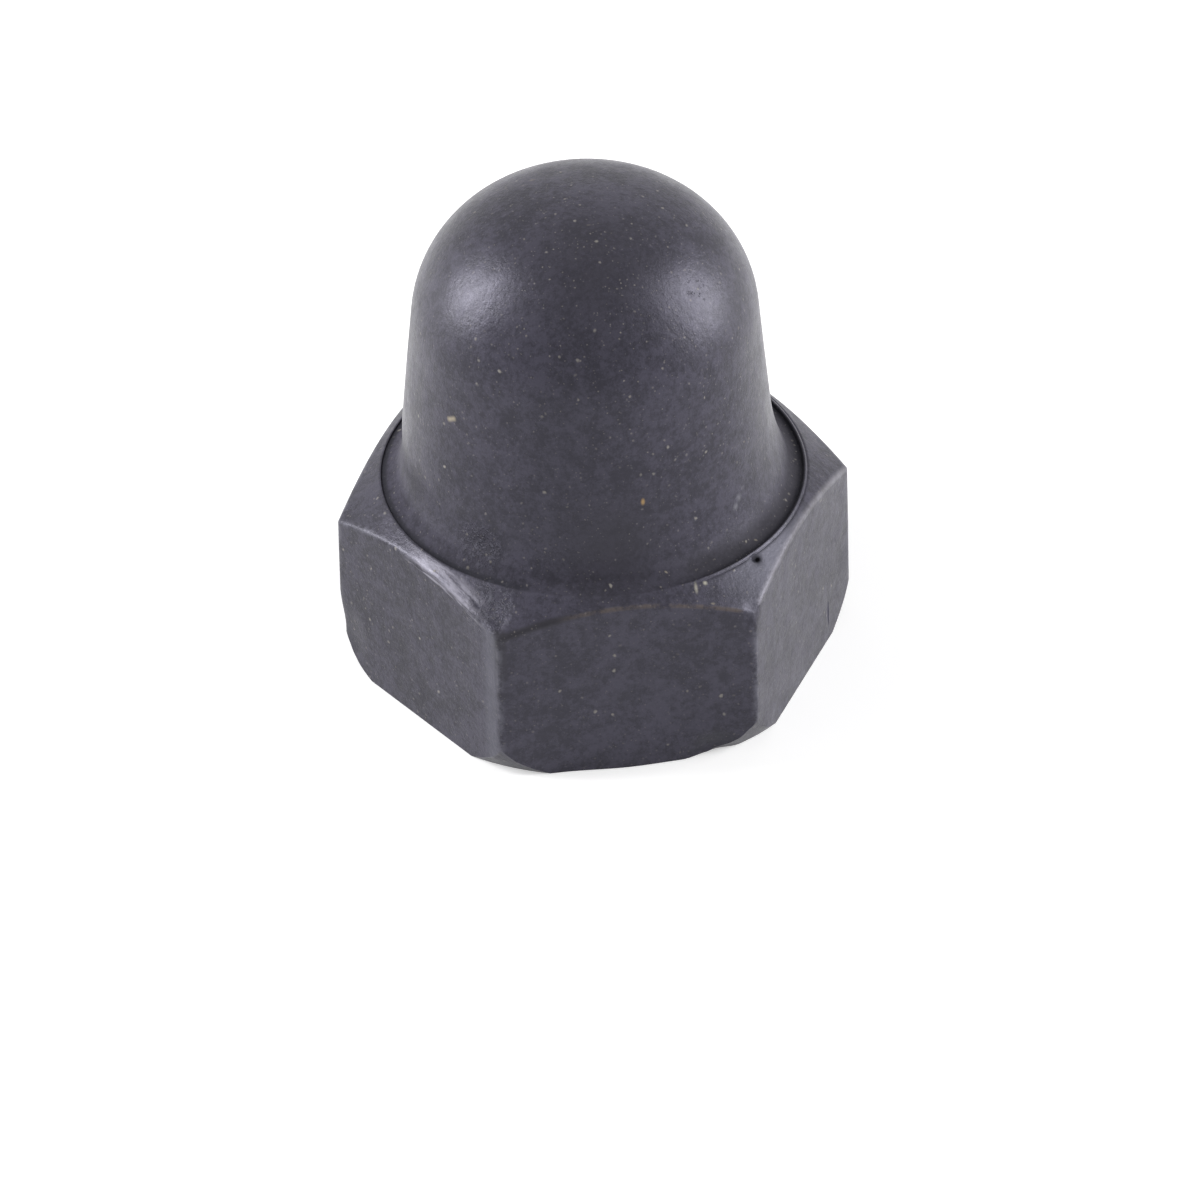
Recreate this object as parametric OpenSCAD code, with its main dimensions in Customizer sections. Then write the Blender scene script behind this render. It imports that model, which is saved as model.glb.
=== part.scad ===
// Domed cap nut for an M8 stud, forged and tapped in one piece.
// The bearing face lies on z = 0, the axis is Z and the dome points up.
// Two opposite corners of the hexagon lie on X, and two opposite flats face -Y and +Y.

/* [Hexagon] */
// Width across the flats
across_flats = 13; // [12.6:0.1:14]
// Height from the bearing face to the rim round the foot of the dome
hex_h = 5.9; // [5:0.1:7.5]
// Slope of the top chamfer, from the horizontal
top_chamfer_angle = 34; // [20:1:40]
// Width of the bottom chamfer at the corners, seen from below
bottom_chamfer_w = 0.6; // [0.2:0.05:1]
// Slope of the bottom chamfer, from the horizontal
bottom_chamfer_angle = 65; // [30:1:65]

/* [Dome] */
// Height of the whole nut
total_h = 15.5; // [14.5:0.1:17]
// Diameter of the dome where its straight side runs into the flare
dome_d = 10.8; // [10:0.1:11.2]
// Lean of the straight side, from the vertical
dome_taper = 5; // [2:0.5:6]
// Radius of the shoulder between side and crown
shoulder_r = 4; // [3:0.1:4.5]
// Radius of the crown
crown_r = 7.4; // [6:0.1:9]

/* [Foot of the dome] */
// Height of the top of the flare above the floor of the trough
flare_h = 1.6; // [1.2:0.1:2]
// Radius of the flare that widens the side towards its foot
flare_r = 8; // [6:0.5:12]
// Radius of the hollow between the flare and the trough
root_r = 0.4; // [0.25:0.05:0.5]
// Width of the flat floor of the trough
trough_w = 0.06; // [0.04:0.01:0.12]
// Height of the rim above the floor of the trough
rim_h = 0.16; // [0.1:0.01:0.25]
// Slope of the rim's inner face, from the horizontal
rim_angle = 63; // [45:1:75]

/* [Bore] */
// Crest diameter of the M8 x 1.25 thread
thread_minor_d = 6.647; // [6.4:0.001:7]
// Depth of the straight bore
bore_depth = 11.3; // [9:0.1:11.8]
// Point angle of the drill that left the end of the bore
drill_point_angle = 118; // [110:1:140]
// Diameter of the countersink at the mouth
countersink_d = 8.7; // [8:0.1:9.5]
// Full angle of the countersink
countersink_angle = 120; // [90:1:130]

/* [Hidden] */
$fn = 144;

// How far a cutting shape runs past the face that it cuts
overcut = 1;

// The blank is turned a little larger than the corners of the hexagon
hex_corner_r = across_flats / 2 / cos(30);
blank_allowance = 0.1;
blank_r = hex_corner_r + blank_allowance;
bearing_r = hex_corner_r - bottom_chamfer_w;

// Height of the floor of the trough, and of the point where the side meets the flare
floor_z = hex_h - rim_h;
flare_top = [dome_d / 2, floor_z + flare_h];

// Outward normal and upward direction of the leaning side
side_normal = [cos(dome_taper), sin(dome_taper)];
side_up = [-sin(dome_taper), cos(dome_taper)];

// Centre of the flare, which touches the side at its top
flare_c = flare_top + flare_r * side_normal;

// Centre of the hollow, which rolls inside the flare and touches the floor of the trough
root_z = floor_z + root_r;
root_x = flare_c.x - sqrt(pow(flare_r - root_r, 2) - pow(root_z - flare_c.y, 2));
root_c = [root_x, root_z];
flare_end = flare_c + flare_r * (root_c - flare_c) / norm(root_c - flare_c);

// The rim stands outside the trough and carries the inner edge of the top chamfer
rim_foot_r = root_x + trough_w;
rim_r = rim_foot_r + rim_h / tan(rim_angle);

// Centre of the crown on the axis
crown_c = [0, total_h - crown_r];

// Centre of the shoulder, which touches the side from within and rolls inside the crown
shoulder_start = flare_top - shoulder_r * side_normal - crown_c;
shoulder_b = shoulder_start * side_up;
shoulder_q = shoulder_start * shoulder_start - pow(crown_r - shoulder_r, 2);
shoulder_run = sqrt(pow(shoulder_b, 2) - shoulder_q) - shoulder_b;
shoulder_c = crown_c + shoulder_start + shoulder_run * side_up;
side_end = shoulder_c + shoulder_r * side_normal;
crown_edge = crown_c + crown_r * (shoulder_c - crown_c) / norm(shoulder_c - crown_c);

// Depths of the conical ends of the bore
countersink_h = (countersink_d - thread_minor_d) / 2 / tan(countersink_angle / 2);
drill_point_h = thread_minor_d / 2 / tan(drill_point_angle / 2);

// Slice of the crown between the axis and the shoulder
module crown_outline() {
    intersection() {
        translate(crown_c) circle(r = crown_r);
        polygon([[0, crown_c.y], [0, total_h + overcut],
                 [crown_edge.x, total_h + overcut], crown_edge, shoulder_c]);
    }
}

// Shoulder, cut off at the axis
module shoulder_outline() {
    intersection() {
        translate(shoulder_c) circle(r = shoulder_r);
        translate([0, shoulder_c.y - shoulder_r]) square([2 * shoulder_r + shoulder_c.x, 2 * shoulder_r]);
    }
}

// Straight side, with the flare and the hollow cut into its foot
module side_outline() {
    difference() {
        polygon([[0, floor_z], [root_x, floor_z], flare_end, flare_top, side_end, shoulder_c,
                 [0, shoulder_c.y]]);
        translate(flare_c) circle(r = flare_r);
        translate(root_c) circle(r = root_r);
    }
}

// Blank of the hexagon: bottom chamfer, plain wall, top chamfer, rim and trough
module hexagon_outline() {
    polygon([[0, 0], [bearing_r, 0],
             [blank_r, (blank_r - bearing_r) * tan(bottom_chamfer_angle)],
             [blank_r, hex_h - (blank_r - rim_r) * tan(top_chamfer_angle)],
             [rim_r, hex_h], [rim_foot_r, floor_z], [0, floor_z]]);
}

// The turned blank, before the six flats
module blank() {
    rotate_extrude() {
        hexagon_outline();
        side_outline();
        shoulder_outline();
        crown_outline();
    }
}

module flats() {
    cylinder(r = hex_corner_r, h = total_h + overcut, $fn = 6);
}

// Countersink, tapping bore and drill point
module bore() {
    rotate_extrude()
        polygon([[0, -overcut],
                 [countersink_d / 2 + overcut * tan(countersink_angle / 2), -overcut],
                 [thread_minor_d / 2, countersink_h],
                 [thread_minor_d / 2, bore_depth],
                 [0, bore_depth + drill_point_h]]);
}

module cap_nut() {
    color([0.27, 0.27, 0.30])
        difference() {
            intersection() {
                blank();
                flats();
            }
            bore();
        }
}

cap_nut();
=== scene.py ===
import math

import bmesh
import bpy
from mathutils import Matrix, Vector


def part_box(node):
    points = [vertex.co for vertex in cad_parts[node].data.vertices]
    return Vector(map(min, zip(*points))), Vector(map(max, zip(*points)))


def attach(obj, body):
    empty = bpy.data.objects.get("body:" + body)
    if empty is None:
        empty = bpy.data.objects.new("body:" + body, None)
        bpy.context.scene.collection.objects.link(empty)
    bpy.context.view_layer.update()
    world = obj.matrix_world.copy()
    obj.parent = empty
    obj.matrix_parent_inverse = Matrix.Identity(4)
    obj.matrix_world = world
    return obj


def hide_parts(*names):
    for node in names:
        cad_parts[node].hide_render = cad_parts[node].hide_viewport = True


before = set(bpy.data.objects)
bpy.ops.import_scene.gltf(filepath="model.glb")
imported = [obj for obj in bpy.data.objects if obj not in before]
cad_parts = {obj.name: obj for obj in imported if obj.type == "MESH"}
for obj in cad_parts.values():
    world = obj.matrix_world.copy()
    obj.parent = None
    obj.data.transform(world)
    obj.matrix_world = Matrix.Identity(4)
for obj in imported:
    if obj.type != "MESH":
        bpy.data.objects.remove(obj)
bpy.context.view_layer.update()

MM = 0.001

# The forged blank: one slug of steel, headed in a die to a dome over a round collar. It is drawn here as
# half of its section, from the top of the crown down to the countersink, and turned about the thread's axis.
low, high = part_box("cap_nut")
across_flats = high.y - low.y
total_h = high.z
corner_r = across_flats / 2 / math.cos(math.radians(30))
hex_h = 5.9 * MM
rim_h = 0.16 * MM
crown_r = 7.4 * MM
shoulder_r = 4 * MM
flare_r = 8 * MM
root_r = 0.4 * MM
taper = math.radians(5)
flare_top = Vector((5.4 * MM, hex_h - rim_h + 1.6 * MM))
side_normal = Vector((math.cos(taper), math.sin(taper)))
side_up = Vector((-math.sin(taper), math.cos(taper)))

crown_c = Vector((0, total_h - crown_r))
reach = flare_top - shoulder_r * side_normal - crown_c
along = reach.dot(side_up)
run = math.sqrt(along ** 2 - reach.dot(reach) + (crown_r - shoulder_r) ** 2) - along
shoulder_c = crown_c + reach + run * side_up
flare_c = flare_top + flare_r * side_normal
root_z = hex_h - rim_h + root_r
root_c = Vector((flare_c.x - math.sqrt((flare_r - root_r) ** 2 - (root_z - flare_c.y) ** 2), root_z))


def arc(centre, radius, start, end, step):
    """Points on an arc of the section, from the start angle to the end angle, about a step apart."""
    count = max(2, round(abs(end - start) * radius / step))
    turns = [start + (end - start) * i / count for i in range(count + 1)]
    return [centre + radius * Vector((math.cos(t), math.sin(t))) for t in turns]


def line(start, end, step):
    """Points on a straight stretch of the section, about a step apart, both ends included."""
    count = max(1, round((end - start).length / step))
    return [start.lerp(end, i / count) for i in range(count + 1)]


skin_step = 0.17 * MM
root_step = 0.05 * MM
quarter = math.pi / 2
crown_end = math.atan2(*reversed(shoulder_c - crown_c))
flare_end = math.atan2(*reversed(root_c - flare_c)) % (2 * math.pi)
section = arc(crown_c, crown_r, quarter, crown_end, skin_step)
section += arc(shoulder_c, shoulder_r, crown_end, taper, skin_step)
section += line(shoulder_c + shoulder_r * side_normal, flare_top, skin_step)
section += arc(flare_c, flare_r, taper + math.pi, flare_end, skin_step)
section += arc(root_c, root_r, flare_end, 3 * quarter, root_step)

# The collar's edge: a narrow trough, a rolled lip and a faint groove that the die left outside it, then the
# chamfer turned over the corners, the wall, the steep lower chamfer and the faced, countersunk bearing side.
trough_w = 0.06 * MM
rim_slope = math.radians(63)
chamfer_slope = math.radians(34)
foot_slope = math.radians(65)
bearing_r = corner_r - 0.6 * MM
blank_r = corner_r + 0.1 * MM
rim_foot = Vector((root_c.x + trough_w, hex_h - rim_h))
rim_top = rim_foot + Vector((rim_h / math.tan(rim_slope), rim_h))
lip_r = 0.05 * MM
groove_out = 0.08 * MM
groove_w = 0.09 * MM
groove_depth = 0.03 * MM
groove_parts = 6
down_chamfer = Vector((math.cos(chamfer_slope), -math.sin(chamfer_slope)))
into_chamfer = Vector((-math.sin(chamfer_slope), -math.cos(chamfer_slope)))
section.append(rim_foot)
section.append(rim_top + lip_r * (rim_foot - rim_top).normalized())
section.append(rim_top + lip_r * down_chamfer * 0.7)
groove_start = rim_top + down_chamfer * groove_out
for i in range(groove_parts + 1):
    dip = groove_depth * math.sin(math.pi * i / groove_parts) ** 2
    section.append(groove_start + down_chamfer * groove_w * i / groove_parts + into_chamfer * dip)
section.append(Vector((blank_r, rim_top.y - (blank_r - rim_top.x) * math.tan(chamfer_slope))))

foot_top = Vector((blank_r, (blank_r - bearing_r) * math.tan(foot_slope)))
foot_low = Vector((bearing_r, 0))
foot_bulge = 0.13 * MM
foot_parts = 5
foot_outward = Vector((math.sin(foot_slope), -math.cos(foot_slope)))
for i in range(foot_parts + 1):
    share = i / foot_parts
    section.append(foot_top.lerp(foot_low, share) + foot_outward * foot_bulge * math.sin(math.pi * share))

sink_r = 8.7 / 2 * MM
sink_slope = math.radians(30)
sink_floor_r = 3 * MM
sink_depth = (sink_r - sink_floor_r) * math.tan(sink_slope)
section += line(foot_low, Vector((sink_r, 0)), 0.4 * MM)[1:]
section.append(Vector((sink_floor_r, sink_depth)))
section.append(Vector((0, sink_depth)))

merge_gap = 2e-6
bpy.ops.object.select_all(action="DESELECT")
bpy.ops.mesh.primitive_plane_add(size=MM)
cap_nut = bpy.context.object
cap_nut.name = "forged_cap_nut"
bpy.ops.object.mode_set(mode="EDIT")
bpy.ops.mesh.merge(type="CENTER")
bpy.ops.transform.translate(value=(0, 0, total_h))
at = section[0]
for point in section[1:]:
    if (point - at).length > 1e-7:
        move = point - at
        bpy.ops.mesh.extrude_region_move(TRANSFORM_OT_translate={"value": (move.x, 0, move.y)})
        at = point
bpy.ops.mesh.select_all(action="SELECT")
bpy.ops.mesh.spin(steps=360, angle=2 * math.pi, center=(0, 0, 0), axis=(0, 0, 1))
bpy.ops.mesh.select_all(action="SELECT")
bpy.ops.mesh.remove_doubles(threshold=merge_gap)
bpy.ops.mesh.normals_make_consistent(inside=False)

# The die stood a little off centre, so the dome sits to the left, and scale in the die filled the hollow at
# the dome's foot in front, and about half of it at the left. A round of 1.2 mm lies in the filled hollow.
fill_r = 1.2 * MM
fill_c = Vector((6.651, 6.990)) * MM
fill_low = 5.7 * MM
fill_top = 6.805 * MM
fill_least = 0.3
fill_front = Vector((math.cos(math.radians(255)), math.sin(math.radians(255))))
fill_left = Vector((math.cos(math.radians(170)), math.sin(math.radians(170))))
front_share, front_focus = 1.3, 10
left_share, left_focus = 0.4, 1.5
groove_low = 5.5 * MM
groove_end = 0.2 * MM
groove_fade = 4
dome_shift = 0.12 * MM
crown_shift = 0.075 * MM
shift_start = 6.2 * MM
shift_full = 8.0 * MM
crown_start = 10 * MM
bpy.ops.object.mode_set(mode="OBJECT")
for vertex in cap_nut.data.vertices:
    spot = vertex.co
    radius = spot.to_2d().length
    way = spot.to_2d().normalized()
    share = fill_least + front_share * max(0, way.dot(fill_front)) ** front_focus
    share += left_share * max(0, way.dot(fill_left)) ** left_focus
    away = Vector((radius, spot.z)) - fill_c
    beyond_rim = radius - rim_top.x
    in_hollow = flare_top.x < radius and beyond_rim < 1e-6 and fill_low < spot.z < fill_top
    if in_hollow and away.length > fill_r:
        place = Vector((radius, spot.z)).lerp(fill_c + fill_r * away.normalized(), min(1, share))
        spot.x, spot.y, spot.z = way.x * place.x, way.y * place.x, place.y
    elif 1e-6 < beyond_rim < groove_end and spot.z > groove_low:
        level = rim_top.y - beyond_rim * math.tan(chamfer_slope)
        spot.z += (level - spot.z) * min(1, groove_fade * (share - fill_least))
    if spot.z > shift_start:
        rise = min(1, (spot.z - shift_start) / (shift_full - shift_start))
        top = max(0, (spot.z - crown_start) / (total_h - crown_start))
        spot.x -= rise * rise * (3 - 2 * rise) * (dome_shift + (crown_shift - dome_shift) * top)

# The hexagon: six flats cut down the collar, 13 mm apart, so that the chamfers meet each flat in a curve.
# Each cut closes itself with one face, and the edges above the foot come out of the tumbling barrel blunt.
flat_turns = [math.radians(turn) for turn in (30, 90, 150)]
edge_blunt = 0.08 * MM
bpy.ops.object.mode_set(mode="EDIT")
for turn in flat_turns + [turn + math.pi for turn in flat_turns]:
    outward = Vector((math.cos(turn), math.sin(turn), 0))
    bpy.ops.mesh.select_all(action="SELECT")
    bpy.ops.mesh.bisect(plane_co=outward * across_flats / 2, plane_no=outward, use_fill=True,
                        clear_outer=True, threshold=1e-7)


def pick(kind, wanted):
    """Selects the vertices, edges or faces of the mesh being edited that pass the test, and no others."""
    bpy.ops.mesh.select_all(action="DESELECT")
    bpy.ops.mesh.select_mode(type=kind)
    shape = bmesh.from_edit_mesh(cap_nut.data)
    for item in {"VERT": shape.verts, "EDGE": shape.edges, "FACE": shape.faces}[kind]:
        if wanted(item):
            item.select_set(True)
    shape.select_flush_mode()
    bmesh.update_edit_mesh(cap_nut.data)


def flat_reach(place):
    """How far out a place lies, measured square to the flat that it is nearest."""
    return max(abs(place.x * math.cos(turn) + place.y * math.sin(turn)) for turn in flat_turns)


def on_flat(face):
    """A face of one of the six flats."""
    return abs(face.normal.z) < 0.01 and flat_reach(face.calc_center_median()) > across_flats / 2 - 1e-6


def on_flat_edge(edge):
    """An edge round a flat, above the foot."""
    sharp = edge.calc_face_angle(0) > math.radians(15)
    above = max(v.co.z for v in edge.verts) > foot_top.y
    return sharp and above and any(on_flat(f) for f in edge.link_faces)


pick("EDGE", on_flat_edge)
bpy.ops.mesh.bevel(offset=edge_blunt, segments=3, profile=0.5, affect="EDGES", clamp_overlap=False)
bpy.ops.mesh.select_all(action="SELECT")
bpy.ops.mesh.remove_doubles(threshold=merge_gap)
bpy.ops.mesh.normals_make_consistent(inside=False)
bpy.ops.object.mode_set(mode="OBJECT")

# The bore: drilled, then tapped M8 x 1.25 right-hand with a bottoming tap. Drill and tap are one solid here,
# a thread section turned up the axis, and the solid is taken out of the blank.
pitch = 1.25 * MM
crest_r = 6.647 / 2 * MM
groove_r = 4 * MM
root_flat = pitch / 8
flank = (groove_r - crest_r) * math.tan(math.radians(30))
crest_flat = pitch - root_flat - 2 * flank
bore_depth = 11.3 * MM
full_thread = 9.7 * MM
tap_lead = 1.3 * MM
tap_turns = 13
turn_steps = 96
tap_start = -3 * pitch
tap_end = -1.5 * pitch
plain_end = -1.2 * pitch
drill_point = crest_r / math.tan(math.radians(118 / 2))
bpy.ops.object.select_all(action="DESELECT")
bpy.ops.mesh.primitive_plane_add(size=MM)
tap = bpy.context.object
bpy.ops.object.mode_set(mode="EDIT")
bpy.ops.mesh.select_mode(type="VERT")
bpy.ops.mesh.select_all(action="SELECT")
bpy.ops.mesh.merge(type="CENTER")
bpy.ops.transform.translate(value=(crest_r, 0, tap_start))
for out, up in ((0, crest_flat), (groove_r - crest_r, flank), (0, root_flat), (crest_r - groove_r, flank)):
    bpy.ops.mesh.extrude_region_move(TRANSFORM_OT_translate={"value": (out, 0, up)})
bpy.ops.object.mode_set(mode="OBJECT")
winding = tap.modifiers.new("winding", "SCREW")
winding.screw_offset = pitch
winding.iterations = tap_turns
winding.steps = winding.render_steps = turn_steps
bpy.ops.object.modifier_apply(modifier="winding")
for vertex in tap.data.vertices:
    spot = vertex.co
    share = min(1, max(0, (full_thread + tap_lead - spot.z) / tap_lead))
    if spot.z < plain_end:
        share = 0
    limit = crest_r + (groove_r - crest_r) * share
    radius = spot.to_2d().length
    if radius > limit:
        spot.x, spot.y = spot.x * limit / radius, spot.y * limit / radius
bpy.ops.object.mode_set(mode="EDIT")
bpy.ops.mesh.select_all(action="SELECT")
bpy.ops.mesh.remove_doubles(threshold=1e-7)
bpy.ops.mesh.bisect(plane_co=(0, 0, bore_depth), plane_no=(0, 0, 1), clear_outer=True, threshold=1e-8)
bpy.ops.mesh.select_all(action="SELECT")
bpy.ops.mesh.bisect(plane_co=(0, 0, tap_end), plane_no=(0, 0, -1), clear_outer=True, use_fill=True,
                    threshold=1e-8)
bpy.ops.mesh.select_mode(type="EDGE")
bpy.ops.mesh.select_all(action="DESELECT")
bpy.ops.mesh.select_non_manifold()
bpy.ops.mesh.extrude_region_move(TRANSFORM_OT_translate={"value": (0, 0, drill_point)})
bpy.ops.mesh.merge(type="CENTER")
bpy.ops.mesh.select_all(action="SELECT")
bpy.ops.mesh.normals_make_consistent(inside=False)
bpy.ops.object.mode_set(mode="OBJECT")
bpy.context.view_layer.objects.active = cap_nut
tapping = cap_nut.modifiers.new("tapping", "BOOLEAN")
tapping.operation = "DIFFERENCE"
tapping.solver = "EXACT"
tapping.object = tap
bpy.ops.object.modifier_apply(modifier="tapping")
bpy.data.objects.remove(tap)

# Wear: the nut has knocked about in a bin with others. The flats, their corners and the top chamfer are first
# cut into a fine grid, so that each dent has faces enough to take its form, and then dented.
dent_grid = 0.16 * MM
chamfer_low = 4.9 * MM
columns = int(corner_r / 2 / dent_grid)
rows = int(hex_h / dent_grid)
chamfer_rows = int((hex_h - chamfer_low) / (dent_grid / 2))
flat_marks = (1, 2, 3)
chamfer_mark = 4
corner_mark = 5
cap_nut.select_set(True)
bpy.ops.object.mode_set(mode="EDIT")
for mark in range(6):
    cap_nut.data.materials.append(None)
for face in bmesh.from_edit_mesh(cap_nut.data).faces:
    middle = face.calc_center_median()
    if on_flat(face):
        leans = [abs(face.normal.x * math.cos(t) + face.normal.y * math.sin(t)) for t in flat_turns]
        face.material_index = flat_marks[leans.index(max(leans))]
    elif abs(face.normal.z) < 0.1 and flat_reach(middle) > across_flats / 2 - edge_blunt:
        face.material_index = corner_mark
    elif abs(face.normal.z - math.cos(chamfer_slope)) < 0.02 and middle.z > chamfer_low:
        face.material_index = chamfer_mark


def cut_across(mark, place, way):
    """Cuts the faces that carry a mark along a plane."""
    bpy.ops.mesh.select_all(action="DESELECT")
    cap_nut.active_material_index = mark
    bpy.ops.object.material_slot_select()
    bpy.ops.mesh.bisect(plane_co=place, plane_no=way, threshold=1e-8)


bpy.ops.mesh.select_mode(type="FACE")
for mark, turn in zip(flat_marks, flat_turns):
    tangent = Vector((-math.sin(turn), math.cos(turn), 0))
    for column in range(-columns, columns + 1):
        cut_across(mark, tangent * dent_grid * column, tangent)
for mark in (*flat_marks, corner_mark):
    for row in range(1, rows):
        cut_across(mark, (0, 0, row * dent_grid), (0, 0, 1))
for row in range(chamfer_rows):
    cut_across(chamfer_mark, (0, 0, chamfer_low + row * dent_grid / 2), (0, 0, 1))


def dent(place, depth, width):
    """Knocks the skin in at a place, or raises it where the depth is negative."""
    shape = bmesh.from_edit_mesh(cap_nut.data)
    nearest = min(shape.verts, key=lambda v: (v.co - place).length)
    inward = -nearest.normal * depth
    pick("VERT", lambda v: v == nearest)
    bpy.ops.transform.translate(value=inward, use_proportional_edit=True, proportional_size=width,
                                proportional_edit_falloff="SMOOTH", use_proportional_connected=True)


lip_pit = ((4.05, -4.92, 5.75, 0.15, 0.20),)
knocked_corner = ((-3.84, -5.61, 5.46, 0.10, 0.35), (-4.15, -5.35, 5.50, 0.06, 0.20),
                  (-3.50, -5.75, 5.52, 0.07, 0.22), (-3.62, -6.05, 5.25, 0.08, 0.25),
                  (-4.35, -5.10, 5.55, -0.03, 0.20))
dome_dents = ((-3.73, -4.04, 6.62, 0.05, 0.28), (-3.45, -4.35, 6.55, -0.03, 0.20),
              (-4.05, -3.75, 6.60, 0.03, 0.22), (2.75, -2.88, 14.04, 0.020, 0.22),
              (2.45, -3.05, 14.10, 0.015, 0.16))
uneven_foot = ((3.75, -6.50, 0.30, 0.08, 0.9), (2.50, -6.50, 0.10, 0.20, 1.0),
               (0.00, -6.50, 0.32, -0.10, 2.0), (-7.50, 0.00, 1.20, 0.14, 1.5))
soft_corner = ((3.75, -6.50, 5.00, 0.10, 0.45),)
for *place, depth, width in lip_pit + knocked_corner + dome_dents + uneven_foot + soft_corner:
    dent(Vector(place) * MM, depth * MM, width * MM)
pick("VERT", lambda v: v.co.z < 0)
bpy.ops.transform.resize(value=(1, 1, 0), center_override=(0, 0, 0))
bpy.ops.object.mode_set(mode="OBJECT")
bpy.ops.object.shade_smooth_by_angle(angle=math.radians(32))


class Finish:
    """A socket of the finish's nodes. Sums on it add Math nodes, and node() adds any other node."""

    def __init__(self, socket):
        self.socket = socket

    def node(self, kind, settings, values, output=0):
        made = self.socket.id_data.nodes.new(kind)
        for name, setting in settings.items():
            if name == "stops":
                for stop, (where, shade) in zip(made.color_ramp.elements, setting):
                    stop.position, stop.color = where, (*shade, 1)
            else:
                setattr(made, name, setting)
        for name, value in values.items():
            if isinstance(value, Finish):
                self.socket.id_data.links.new(value.socket, made.inputs[name])
            else:
                made.inputs[name].default_value = value
        return Finish(made.outputs[output])

    def math(self, operation, *others, clamp=False):
        settings = {"operation": operation, "use_clamp": clamp}
        return self.node("ShaderNodeMath", settings, dict(enumerate((self, *others))))

    def __add__(self, other):
        return self.math("ADD", other)

    def __mul__(self, other):
        return self.math("MULTIPLY", other)

    def __sub__(self, other):
        return self.math("SUBTRACT", other)

    def __rsub__(self, other):
        return self.math("MULTIPLY_ADD", -1, other)

    def __abs__(self):
        return self.math("ABSOLUTE")

    __radd__, __rmul__ = __add__, __mul__

    def limit(self):
        return self.math("ADD", 0, clamp=True)


# The finish: matt black oxide, a thin crystalline skin that the steel takes in a hot bath. It is bluish and
# finely grained, rubbed paler on the edges, and it holds pale dust, a pale and a golden fleck and some
# scratches.
black_oxide = bpy.data.materials.new("matt_black_oxide")
black_oxide.use_nodes = True
surface = black_oxide.node_tree.nodes["Principled BSDF"]
surface.inputs["Specular IOR Level"].default_value = 0.43
surface.inputs["Specular Tint"].default_value = (0.84, 0.82, 1, 1)
metres = Finish(black_oxide.node_tree.nodes.new("ShaderNodeTexCoord").outputs["Object"])
mm = metres.node("ShaderNodeVectorMath", {"operation": "SCALE"}, {0: metres, "Scale": 1 / MM})


def noise(scale, detail=2, rough=0.5):
    """Noise over the nut, about 0.5 on average. The scale is in turns for each millimetre."""
    return mm.node("ShaderNodeTexNoise", {}, {"Vector": mm, "Scale": scale, "Detail": detail,
                                             "Roughness": rough})


def ramp(value, low_end, high_end):
    """0 below the low end, 1 above the high end, and smooth between them."""
    return mm.node("ShaderNodeMapRange", {"interpolation_type": "SMOOTHSTEP"},
                   {"Value": value, "From Min": low_end, "From Max": high_end})


def near(place, size, stretch=(1, 1, 1)):
    """1 at a place, fading to 0 at a distance in millimetres."""
    shifted = mm.node("ShaderNodeVectorMath", {"operation": "SUBTRACT"}, {0: mm, 1: place})
    shifted = mm.node("ShaderNodeVectorMath", {"operation": "MULTIPLY"}, {0: shifted, 1: stretch})
    away = mm.node("ShaderNodeVectorMath", {"operation": "LENGTH"}, {0: shifted}, output="Value")
    return ramp(away, size, 0)


def specks(scale, size, share, stretch=(1, 1, 1)):
    """Dots of dust, in a share of the cells of a pattern, some paler than others."""
    unevenness = {"Vector": mm, "Scale": scale * 2.3, "Detail": 1}
    jitter = mm.node("ShaderNodeTexNoise", {}, unevenness, output="Color")
    shifted = mm.node("ShaderNodeVectorMath", {"operation": "SCALE"}, {0: jitter, "Scale": 0.25 / scale})
    where = mm.node("ShaderNodeVectorMath", {"operation": "ADD"}, {0: mm, 1: shifted})
    where = mm.node("ShaderNodeVectorMath", {"operation": "MULTIPLY"}, {0: where, 1: stretch})
    cells = {"Vector": where, "Scale": scale}
    away = mm.node("ShaderNodeTexVoronoi", {}, cells, output="Distance")
    chance = mm.node("ShaderNodeTexVoronoi", {}, cells, output="Color")
    lot = mm.node("ShaderNodeSeparateColor", {}, {0: chance}, output="Red")
    paleness = mm.node("ShaderNodeSeparateColor", {}, {0: chance}, output="Green")
    return ramp(away, size, size * 0.2) * lot.math("LESS_THAN", share) * (0.45 + paleness * 0.8)


# Rubbed edges: how far each point lies inside the flats, the corners and the cone of the top chamfer, all in
# millimetres, shows where the skin has worn. The chips break the pale lines.
x, y, z = (mm.node("ShaderNodeSeparateXYZ", {}, {0: mm}, output=axis) for axis in "XYZ")
flat_at = across_flats / 2 / MM
collar_top = hex_h / MM
leans = [abs(x * math.cos(turn) + y * math.sin(turn)) for turn in flat_turns]
inside_flat = flat_at - leans[0].math("MAXIMUM", leans[1].math("MAXIMUM", leans[2]))
from_axis = (x * x + y * y).math("SQRT")
inside_cone = collar_top - (from_axis - rim_top.x / MM) * math.tan(chamfer_slope) - z
off_cone = abs(inside_cone)
in_hexagon = ramp(z, collar_top + 0.02, collar_top - 0.1) * ramp(from_axis, 6.1, 6.3)
on_front = ramp(y, -6.1, -6.35)
chip = noise(2.2, 4, 0.7)
top_edge = ramp(inside_flat + off_cone, 0.16, 0.02) * in_hexagon * (1 - on_front * 0.9)
side_edge = ramp(corner_r / MM - from_axis, 0.10, 0.01) * in_hexagon
rubbed = (top_edge.math("MAXIMUM", side_edge) * ramp(chip, 0.36, 0.62)).limit()
# Painted light: the top edges at the right and a patch of the top chamfer there are made paler, where the
# right box shines.
right_edge_painted_light = ramp(x, 3.2, 4.2) * top_edge
right_chamfer_painted_light = near((4.6, -4.7, 5.45), 2.9) * ramp(inside_flat, 0.02, 0.10) * in_hexagon

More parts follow.
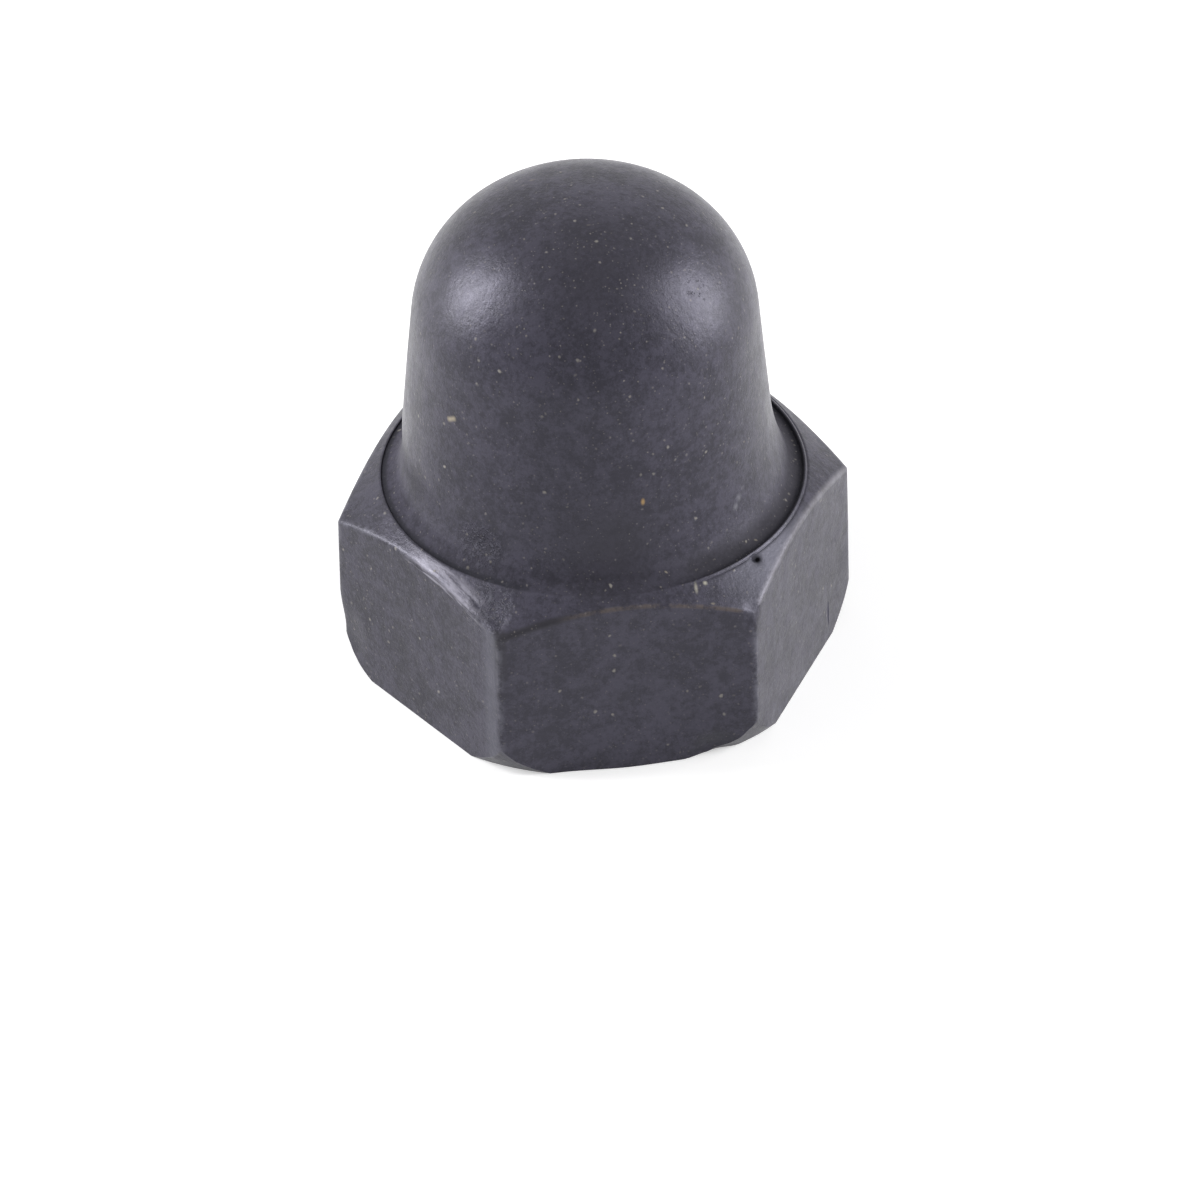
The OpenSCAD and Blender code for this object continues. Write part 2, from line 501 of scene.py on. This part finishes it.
# The upper edge of the left flat was dragged along something hard: strokes along the edge, and a scratch
# beside it. Where it ends, at the front left corner, the skin is crushed, and the dome's foot behind it too.
left_turn = math.radians(210)
left_lean = x * math.cos(left_turn) + y * math.sin(left_turn)
left_along = x * 0.5 - y * 0.866
inside_left = flat_at - left_lean
left_top = (near((-4.9, -4.3, 5.6), 2.2) * 2.2).limit()
strokes = mm.node("ShaderNodeCombineXYZ", {}, {0: left_lean * 6, 1: left_along * 0.7, 2: inside_cone * 6})
strokes = mm.node("ShaderNodeTexNoise", {}, {"Vector": strokes, "Scale": 1.6, "Detail": 3})
scraped = left_top * ramp(inside_left, 0.50, 0.25) * ramp(off_cone, 0.14, 0.04) * in_hexagon
scraped = scraped * ramp(strokes, 0.30, 0.60)
scratch = left_top * ramp(inside_left + abs(off_cone - 0.16), 0.07, 0.02) * ramp(strokes, 0.40, 0.55)
corner_line = ramp(inside_left, 0.05, 0.01) * in_hexagon
corner_line = corner_line * ramp(left_along, 2.9, 3.3) * ramp(left_along, 3.72, 3.5)
mangled = near((-3.9, -5.45, 5.5), 1.1) * ramp(noise(6, 4, 0.7), 0.46, 0.62)
bruised = near((-3.8, -4.0, 6.6), 1.1) * ramp(noise(7, 4, 0.7), 0.46, 0.64)

# The upper edge in front is darker on the left and tinged brown on the right. Painted shade darkens the
# hollow, the trough inside the rim and the front of the dome's foot. The flats are darker towards their foot,
# and dirt smudges the crown.
front_gap = inside_flat + off_cone
# The upper edge in front, left of the middle, and the front flat by its upper left corner are darker.
front_edge_dark = ramp(front_gap, 0.18, 0.06) * in_hexagon * on_front * ramp(x, -1.0, -2.2)
front_corner_dark = on_front * ramp(x, -3.42, -3.62) * ramp(z, 2.6, 4.4)
front_tinge = ramp(front_gap, 0.10, 0.02) * in_hexagon * on_front * ramp(x, -2.2, -1.0)
on_collar = ramp(z, 5.0, 5.4)
in_hollow = ramp(from_axis, 5.46, 5.74) * ramp(from_axis, 6.22, 6.12) * ramp(z, 7.1, 6.3) * on_collar
# Painted shade in the hollow, deepest at the right, where the rim shades it from the right box.
hollow_painted_shade = in_hollow * (0.15 + ramp(x, 0.5, 3.5) * 0.70)
# Painted shade: a thin dark line along the trough inside the rim, all round except in front.
rim_painted_shade_line = ramp(from_axis, 5.93, 6.03) * ramp(from_axis, 6.17, 6.13) * ramp(z, 6.2, 5.9) * on_collar
rim_painted_shade_line = rim_painted_shade_line * ramp(y, -5.7, -4.9)
# The flats are darker towards their foot.
foot = ramp(z, 1.7, 0.9) * ramp(z, 0, 0.15) * ramp(inside_flat, 0.01, 0.07) * ramp(from_axis, 6.6, 6.8)
# A smudge of dirt on the crown, and painted shade at the front of the dome's foot.
smudge_and_shade = near((0.1, -2.4, 14.8), 3.5) * ramp(noise(2.2, 4, 0.65), 0.32, 0.58)
smudge_and_shade = smudge_and_shade + near((-0.2, -5.6, 7.2), 2.6)
pitted = near((-4.3, -3.7, 6.6), 2.2) * ramp(noise(6, 3, 0.7), 0.48, 0.60)

# Small marks: a nick on the right flat, a pit beside the lip, pits on the shoulder, a pale streak at the foot
# of the dome, a thread of lint on the chamfer, the two flecks, and dust, thickest on top.
nick = (near((6.62, -1.54, 0.96), 0.52, (8, 8, 1)) * 4).limit()
shoulder_pits = near((2.75, -2.88, 14.04), 0.75) * ramp(noise(4.5, 3, 0.6), 0.56, 0.68)
crevice = (nick + near((4.05, -4.92, 5.75), 0.20) * 1.5).limit()
streak = near((3.60, -4.05, 7.05), 0.16) + near((3.75, -3.92, 7.25), 0.20) + near((3.92, -3.75, 7.45), 0.16)
lint = near((2.1, -6.0, 5.76), 0.26, (3.2, 1, 1)) * 0.7 + near((2.39, -5.85, 5.79), 0.10)
pale_fleck = near((-4.45, -2.68, 10.25), 0.14) + near((-4.39, -2.76, 10.31), 0.14)
pale_fleck = pale_fleck + near((-4.33, -2.84, 10.37), 0.14)
golden_fleck = near((0.72, -5.25, 8.47), 0.16, (1.8, 1, 1)) * 1.3
dusty = 0.45 + ramp(noise(0.7, 2), 0.42, 0.60) * 0.3 + near((0.3, -3.5, 13.3), 5) * 0.5
dust = specks(1.9, 0.14, 0.50) * 0.65
fine_dust = specks(2.9, 0.16, 0.6) * 0.7 + specks(4.6, 0.18, 0.7) * 0.6 + specks(7.5, 0.22, 0.6) * 0.4
slivers = specks(1.3, 0.08, 0.35, (0.6, 1.4, 1.0)) * 0.5

# The colour: the mottled skin first, then the dirt and the painted shade, the bare and crushed places, the
# painted light at the right, the dust and the small marks, each laid over those before it.
tone = noise(0.55, 3) * 0.20 + noise(2.2, 4, 0.6) * 0.30 + noise(7, 5, 0.8) * 0.50
skin_tones = [(0.44, (0.015, 0.014, 0.020)), (0.56, (0.043, 0.040, 0.057))]
base = mm.node("ShaderNodeValToRGB", {"stops": skin_tones}, {0: tone})
for colour, mask in (((0.012, 0.011, 0.015), pitted * 0.6),
                     ((0.018, 0.017, 0.020), hollow_painted_shade),
                     ((0.008, 0.008, 0.011), rim_painted_shade_line),
                     ((0.012, 0.012, 0.018), foot * 0.6),
                     ((0.014, 0.013, 0.016), (smudge_and_shade * 0.7).limit()),
                     ((0.012, 0.011, 0.012), (front_edge_dark + front_corner_dark * 0.7).limit()),
                     ((0.13, 0.10, 0.07), front_tinge * ramp(chip, 0.35, 0.60) * 0.7),
                     ((0.14, 0.14, 0.17), right_chamfer_painted_light * 0.75),
                     ((0.16, 0.16, 0.19), rubbed * 0.45),
                     ((0.12, 0.12, 0.15), corner_line * 0.4),
                     ((0.30, 0.29, 0.34), scraped * 0.75),
                     ((0.30, 0.29, 0.34), scratch * 0.7),
                     ((0.14, 0.14, 0.17), mangled * 0.5),
                     ((0.10, 0.10, 0.12), bruised * 0.45),
                     ((0.24, 0.24, 0.27), streak * 0.45),
                     ((0.22, 0.21, 0.22), right_edge_painted_light * 0.4),
                     ((0.30, 0.28, 0.25), dust),
                     ((0.24, 0.22, 0.20), (fine_dust * dusty).limit()),
                     ((0.33, 0.29, 0.22), slivers),
                     ((0.36, 0.31, 0.22), pale_fleck.limit()),
                     ((0.34, 0.22, 0.09), golden_fleck.limit()),
                     ((0.004, 0.004, 0.005), (crevice + shoulder_pits * 0.6).limit()),
                     ((0.42, 0.40, 0.33), lint)):
    base = mm.node("ShaderNodeMix", {"data_type": "RGBA"}, {0: mask, 6: base, 7: (*colour, 1)}, output=2)

# The relief, in millimetres, and the sheen, which is duller where the grain stands high, in dust and in the
# hollow.
grain = noise(9, 4, 0.65)
relief = grain * 0.011 + noise(1.1, 3) * 0.020 + dust * 0.008 + (mangled + bruised) * 0.03
relief = relief - nick * 0.04 - shoulder_pits * 0.015
bump = mm.node("ShaderNodeBump", {}, {"Strength": 1, "Distance": MM, "Height": relief})
roughness = 0.36 + (noise(1.6, 3) - 0.5) * 0.20 + (grain - 0.5) * 0.25 + dust * 0.25 + in_hollow * 0.45
for made, name in ((base, "Base Color"), (roughness, "Roughness"), (bump, "Normal"), (crevice, "Metallic")):
    black_oxide.node_tree.links.new(made.socket, surface.inputs[name])
cap_nut.data.materials.clear()
cap_nut.data.materials.append(black_oxide)
for face in cap_nut.data.polygons:
    face.material_index = 0

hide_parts("cap_nut")
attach(cap_nut, "root")


def shows(tree):
    """1 on the rays that show a thing, straight or by reflection, and 0 on those that only carry light."""
    rays = tree.nodes.new("ShaderNodeLightPath").outputs
    shown = Finish(rays["Is Camera Ray"]).math("MAXIMUM", Finish(rays["Is Glossy Ray"]))
    return shown.math("MAXIMUM", Finish(rays["Is Transmission Ray"]))


# The table: a matt white sheet of paper that runs out past the view. The nut stands on it, a hair above it,
# so that the two never share one plane.
table_gap = 0.01 * MM
bpy.ops.object.select_all(action="DESELECT")
bpy.ops.mesh.primitive_plane_add(size=4, location=(0, 0, -table_gap))
table = bpy.context.object
table.name = "white_sheet"
paper = bpy.data.materials.new("white_paper")
paper.use_nodes = True
paper_skin = paper.node_tree.nodes["Principled BSDF"]
paper_skin.inputs["Base Color"].default_value = (0.82, 0.82, 0.82, 1)
paper_skin.inputs["Roughness"].default_value = 0.9
paper_skin.inputs["Specular IOR Level"].default_value = 0
paper_skin.inputs["Emission Color"].default_value = (1, 1, 1, 1)
paper_glow = shows(paper.node_tree) * 0.44
paper.node_tree.links.new(paper_glow.socket, paper_skin.inputs["Emission Strength"])
table.data.materials.append(paper)

# The room: plain white all round. It shows at full white, and lights the nut at less than a third of that.
room = bpy.data.worlds.new("white_room")
bpy.context.scene.world = room
room.use_nodes = True
room_light = room.node_tree.nodes["Background"]
room_light.inputs["Color"].default_value = (1, 1, 1, 1)
room_strength = 0.30 + shows(room.node_tree) * 0.70
room.node_tree.links.new(room_strength.socket, room_light.inputs["Strength"])

# Two soft boxes stand at the sides, at the same distance, each taller than it is wide: one a little behind
# the nut on the left, and a larger, lower one a little in front of it on the right.
dome_middle = Vector((0, 0, total_h * 0.75))
box_distance = 0.40
for name, way, size, power in (("left_box", (-0.83, 0.25, 0.42), (0.17, 0.32), 1.95),
                               ("right_box", (0.92, -0.09, 0.315), (0.26, 0.42), 2.25)):
    box = bpy.data.lights.new(name, "AREA")
    box.shape = "ELLIPSE"
    box.size, box.size_y = size
    box.energy = power
    stand = bpy.data.objects.new(name, box)
    bpy.context.scene.collection.objects.link(stand)
    stand.location = dome_middle + Vector(way).normalized() * box_distance
    stand.rotation_euler = Vector(way).to_track_quat("Z", "Y").to_euler()

# The camera stands high in front, a little to the left and a little rolled, with a long lens.
swing = math.radians(7.87)
height = math.radians(36.98)
roll = math.radians(1.33)
distance = 534.7 * MM
aim_across = 0.110 * MM
aim_up = 0.918 * MM
across = Vector((math.cos(swing), -math.sin(swing), 0))
back = Vector((-math.sin(swing) * math.cos(height), -math.cos(swing) * math.cos(height), math.sin(height)))
upward = back.cross(across)
rolled_across = math.cos(roll) * across - math.sin(roll) * upward
rolled_up = math.sin(roll) * across + math.cos(roll) * upward
camera = bpy.data.objects.new("camera", bpy.data.cameras.new("camera"))
bpy.context.scene.collection.objects.link(camera)
camera.data.sensor_width = 36
camera.data.lens = 549.3
camera.data.clip_start, camera.data.clip_end = 0.01, 20
camera.location = aim_across * rolled_across + aim_up * rolled_up + back * distance
camera.rotation_mode = "QUATERNION"
camera.rotation_quaternion = Matrix((rolled_across, rolled_up, back)).transposed().to_quaternion()
bpy.context.scene.camera = camera
bpy.context.scene.view_settings.view_transform = "Standard"
